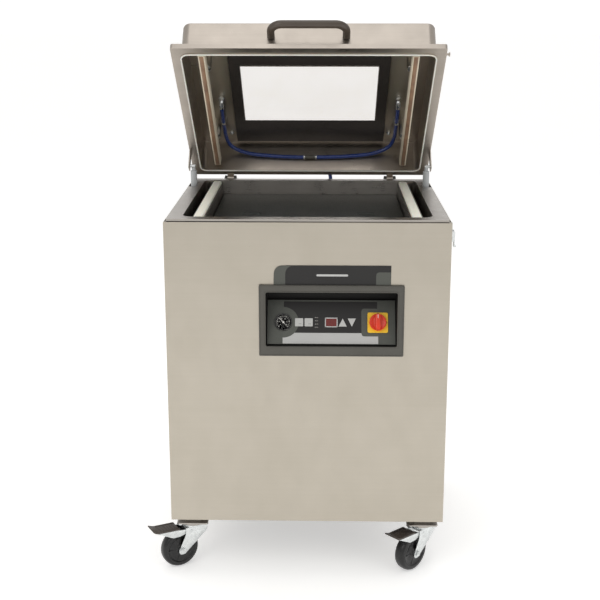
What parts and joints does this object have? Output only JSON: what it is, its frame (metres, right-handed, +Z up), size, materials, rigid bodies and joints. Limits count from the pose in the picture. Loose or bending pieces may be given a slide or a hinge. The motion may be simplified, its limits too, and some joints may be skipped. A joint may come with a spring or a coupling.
{
  "type": "vacuum packing machine",
  "caption": "Free-standing chamber vacuum packing machine on casters, with a hinged windowed lid, seal bars and a recessed control panel.",
  "frame": {"origin": "middle of the footprint, on the floor", "axes": "+Z up, +X to the machine's right seen from the front, +Y to the back; the lid is stored open"},
  "size_m": [0.8063, 0.6537, 1.4048],
  "materials": {
    "stainless": "brushed, warm reflection",
    "frame_steel": "dull folded steel",
    "zinc": "bright zinc plate",
    "strut_grey": "light grey paint",
    "strut_chrome": "polished rod",
    "silicone": "cream silicone",
    "gasket": "pale silicone",
    "insert_black": "fine texture",
    "bezel_plastic": "moulded, fine grain",
    "fascia_film": "printed film",
    "badge_film": "printed film",
    "display_red": "tinted filter",
    "gauge_black": "satin",
    "needle_white": "satin",
    "key_grey": "soft film",
    "switch_yellow": "moulded",
    "switch_red": "moulded",
    "hinge_black": "satin",
    "cast_grey": "painted casting",
    "fan_plastic": "moulded",
    "filter_steel": "satin",
    "hose_black": "ribbed",
    "transformer_iron": "varnished laminations",
    "valve_brass": "machined",
    "inlet_plastic": "moulded",
    "pane": "clear acrylic",
    "handle_plastic": "moulded",
    "seal_ptfe": "woven PTFE tape",
    "hose_blue": "polyurethane",
    "wheel_rubber": "hard rubber",
    "pedal_brown": "moulded cap on steel"
  },
  "bodies": {
    "root": {"front_panel": "stainless", "left_side_panel": "stainless", "right_side_panel": "stainless", "rear_panel": "stainless", "chamber_tank": "stainless", "base_frame": "frame_steel", "silicone_holder_left": "frame_steel", "silicone_holder_right": "frame_steel", "latch_base": "zinc", "silicone_bar_left": "silicone", "silicone_bar_right": "silicone", "control_bezel": "bezel_plastic", "control_fascia": "fascia_film", "badge_plate": "badge_film", "display_window": "display_red", "gauge_body": "gauge_black", "switch_plate": "switch_yellow", "hinge_bracket_left": "hinge_black", "hinge_bracket_right": "hinge_black", "pump_body": "cast_grey", "pump_motor": "cast_grey", "exhaust_filter": "filter_steel", "vacuum_hose": "hose_black", "seal_transformer": "transformer_iron", "solenoid_valve": "valve_brass", "mains_inlet": "inlet_plastic"},
    "lid": {"lid_shell": "stainless", "lid_window": "pane", "lid_gasket": "gasket", "lid_handle": "handle_plastic", "bar_carrier_left": "stainless", "bar_carrier_right": "stainless", "lid_air_hose": "hose_blue"},
    "seal_bar_left": {"seal_bar_left": "seal_ptfe"},
    "seal_bar_right": {"seal_bar_right": "seal_ptfe"},
    "insert_plate": {"insert_plate": "insert_black"},
    "gauge_needle": {"gauge_needle": "needle_white"},
    "main_switch": {"switch_knob": "switch_red"},
    "vacuum_key": {"vacuum_key": "key_grey"},
    "seal_key": {"seal_key": "key_grey"},
    "up_key": {"up_key": "key_grey"},
    "down_key": {"down_key": "key_grey"},
    "latch_lever": {"latch_lever": "zinc"},
    "latch_hook": {"latch_hook": "zinc"},
    "motor_fan": {"motor_fan": "fan_plastic"},
    "strut_rod_left": {"strut_rod_left": "strut_chrome"},
    "strut_tube_left": {"strut_tube_left": "strut_grey"},
    "strut_rod_right": {"strut_rod_right": "strut_chrome"},
    "strut_tube_right": {"strut_tube_right": "strut_grey"},
    "caster_front_left": {"caster_fork_front_left": "zinc"},
    "wheel_front_left": {"caster_wheel_front_left": "wheel_rubber"},
    "caster_front_right": {"caster_fork_front_right": "zinc"},
    "wheel_front_right": {"caster_wheel_front_right": "wheel_rubber"},
    "caster_rear_left": {"caster_fork_rear_left": "zinc"},
    "wheel_rear_left": {"caster_wheel_rear_left": "wheel_rubber"},
    "caster_rear_right": {"caster_fork_rear_right": "zinc"},
    "wheel_rear_right": {"caster_wheel_rear_right": "wheel_rubber"},
    "pedal_front_left": {"brake_pedal_front_left": "pedal_brown"},
    "pedal_front_right": {"brake_pedal_front_right": "pedal_brown"}
  },
  "joints": [
    {"name": "lid_hinge", "type": "hinge", "parent": "root", "child": "lid", "pos_m": [0.0122, 0.2873, 0.942], "axis": [1, 0, 0], "range_deg": [0, 41]},
    {"name": "strut_left_swing", "type": "hinge", "parent": "root", "child": "strut_rod_left", "pos_m": [-0.3153, 0.1973, 0.693], "axis": [1, 0, 0], "range_deg": [0, 3.53]},
    {"name": "strut_left_slide", "type": "slide", "parent": "strut_rod_left", "child": "strut_tube_left", "axis": [0, -0.0594, 0.9982], "range_m": [-0.08363, 0]},
    {"name": "strut_right_swing", "type": "hinge", "parent": "root", "child": "strut_rod_right", "pos_m": [0.3397, 0.1973, 0.693], "axis": [1, 0, 0], "range_deg": [0, 3.53]},
    {"name": "strut_right_slide", "type": "slide", "parent": "strut_rod_right", "child": "strut_tube_right", "axis": [0, -0.0594, 0.9982], "range_m": [-0.08363, 0]},
    {"name": "seal_bar_left_press", "type": "slide", "parent": "lid", "child": "seal_bar_left", "axis": [0, -0.6561, -0.7547], "range_m": [0, 0.0075], "stiffness_N_per_m": 12000, "springref_m": -0.002},
    {"name": "seal_bar_right_press", "type": "slide", "parent": "lid", "child": "seal_bar_right", "axis": [0, -0.6561, -0.7547], "range_m": [0, 0.0075], "stiffness_N_per_m": 12000, "springref_m": -0.002},
    {"name": "insert_lift", "type": "slide", "parent": "root", "child": "insert_plate", "axis": [0, 0, 1], "range_m": [0, 0.045]},
    {"name": "main_switch_turn", "type": "hinge", "parent": "root", "child": "main_switch", "pos_m": [0.1852, -0.28514, 0.67959], "axis": [0, 0.8998, -0.4363], "range_deg": [0, 90]},
    {"name": "gauge_needle_turn", "type": "hinge", "parent": "root", "child": "gauge_needle", "pos_m": [-0.0468, -0.28514, 0.67959], "axis": [0, 0.8998, -0.4363], "range_deg": [0, 270]},
    {"name": "vacuum_key_press", "type": "slide", "parent": "root", "child": "vacuum_key", "axis": [0, 0.8998, -0.4363], "range_m": [0, 0.0008], "stiffness_N_per_m": 1500, "springref_m": -0.0004},
    {"name": "seal_key_press", "type": "slide", "parent": "root", "child": "seal_key", "axis": [0, 0.8998, -0.4363], "range_m": [0, 0.0008], "stiffness_N_per_m": 1500, "springref_m": -0.0004},
    {"name": "up_key_press", "type": "slide", "parent": "root", "child": "up_key", "axis": [0, 0.8998, -0.4363], "range_m": [0, 0.0008], "stiffness_N_per_m": 1500, "springref_m": -0.0004},
    {"name": "down_key_press", "type": "slide", "parent": "root", "child": "down_key", "axis": [0, 0.8998, -0.4363], "range_m": [0, 0.0008], "stiffness_N_per_m": 1500, "springref_m": -0.0004},
    {"name": "latch_lever_swing", "type": "hinge", "parent": "root", "child": "latch_lever", "pos_m": [0.3642, -0.2777, 0.905], "axis": [0, -1, 0], "range_deg": [0, 100]},
    {"name": "latch_hook_swing", "type": "hinge", "parent": "latch_lever", "child": "latch_hook", "pos_m": [0.3621, -0.2777, 0.89], "axis": [0, -1, 0], "range_deg": [-100, 0]},
    {"name": "motor_fan_spin", "type": "hinge", "parent": "root", "child": "motor_fan", "pos_m": [0.1122, -0.0187, 0.273], "axis": [1, 0, 0], "continuous": true},
    {"name": "swivel_front_left", "type": "hinge", "parent": "root", "child": "caster_front_left", "pos_m": [-0.2878, -0.2257, 0.11], "axis": [0, 0, 1], "continuous": true},
    {"name": "wheel_front_left_roll", "type": "hinge", "parent": "caster_front_left", "child": "wheel_front_left", "pos_m": [-0.3238, -0.24733, 0.05], "axis": [0.515, -0.8572, 0], "continuous": true},
    {"name": "pedal_front_left_press", "type": "hinge", "parent": "caster_front_left", "child": "pedal_front_left", "pos_m": [-0.30151, -0.23394, 0.099], "axis": [0.515, -0.8572, 0], "range_deg": [0, 6]},
    {"name": "swivel_front_right", "type": "hinge", "parent": "root", "child": "caster_front_right", "pos_m": [0.3122, -0.2257, 0.11], "axis": [0, 0, 1], "continuous": true},
    {"name": "wheel_front_right_roll", "type": "hinge", "parent": "caster_front_right", "child": "wheel_front_right", "pos_m": [0.2825, -0.2554, 0.05], "axis": [0.7071, -0.7071, 0], "continuous": true},
    {"name": "pedal_front_right_press", "type": "hinge", "parent": "caster_front_right", "child": "pedal_front_right", "pos_m": [0.30089, -0.23701, 0.099], "axis": [0.7071, -0.7071, 0], "range_deg": [0, 6]},
    {"name": "swivel_rear_left", "type": "hinge", "parent": "root", "child": "caster_rear_left", "pos_m": [-0.2878, 0.2233, 0.11], "axis": [0, 0, 1], "continuous": true},
    {"name": "wheel_rear_left_roll", "type": "hinge", "parent": "caster_rear_left", "child": "wheel_rear_left", "pos_m": [-0.2534, 0.24739, 0.05], "axis": [-0.5736, 0.8192, 0], "continuous": true},
    {"name": "swivel_rear_right", "type": "hinge", "parent": "root", "child": "caster_rear_right", "pos_m": [0.3122, 0.2233, 0.11], "axis": [0, 0, 1], "continuous": true},
    {"name": "wheel_rear_right_roll", "type": "hinge", "parent": "caster_rear_right", "child": "wheel_rear_right", "pos_m": [0.35167, 0.23766, 0.05], "axis": [-0.342, 0.9397, 0], "continuous": true}
  ],
  "couplings": [
    {"joint": "strut_left_swing", "follows": "lid_hinge", "ratio": 0.081245},
    {"joint": "strut_left_slide", "follows": "lid_hinge", "m_per_rad": -0.11547},
    {"joint": "strut_right_swing", "follows": "lid_hinge", "ratio": 0.081245},
    {"joint": "strut_right_slide", "follows": "lid_hinge", "m_per_rad": -0.11547},
    {"joint": "seal_bar_right_press", "follows": "seal_bar_left_press", "ratio": 1},
    {"joint": "latch_hook_swing", "follows": "latch_lever_swing", "ratio": -1}
  ]
}
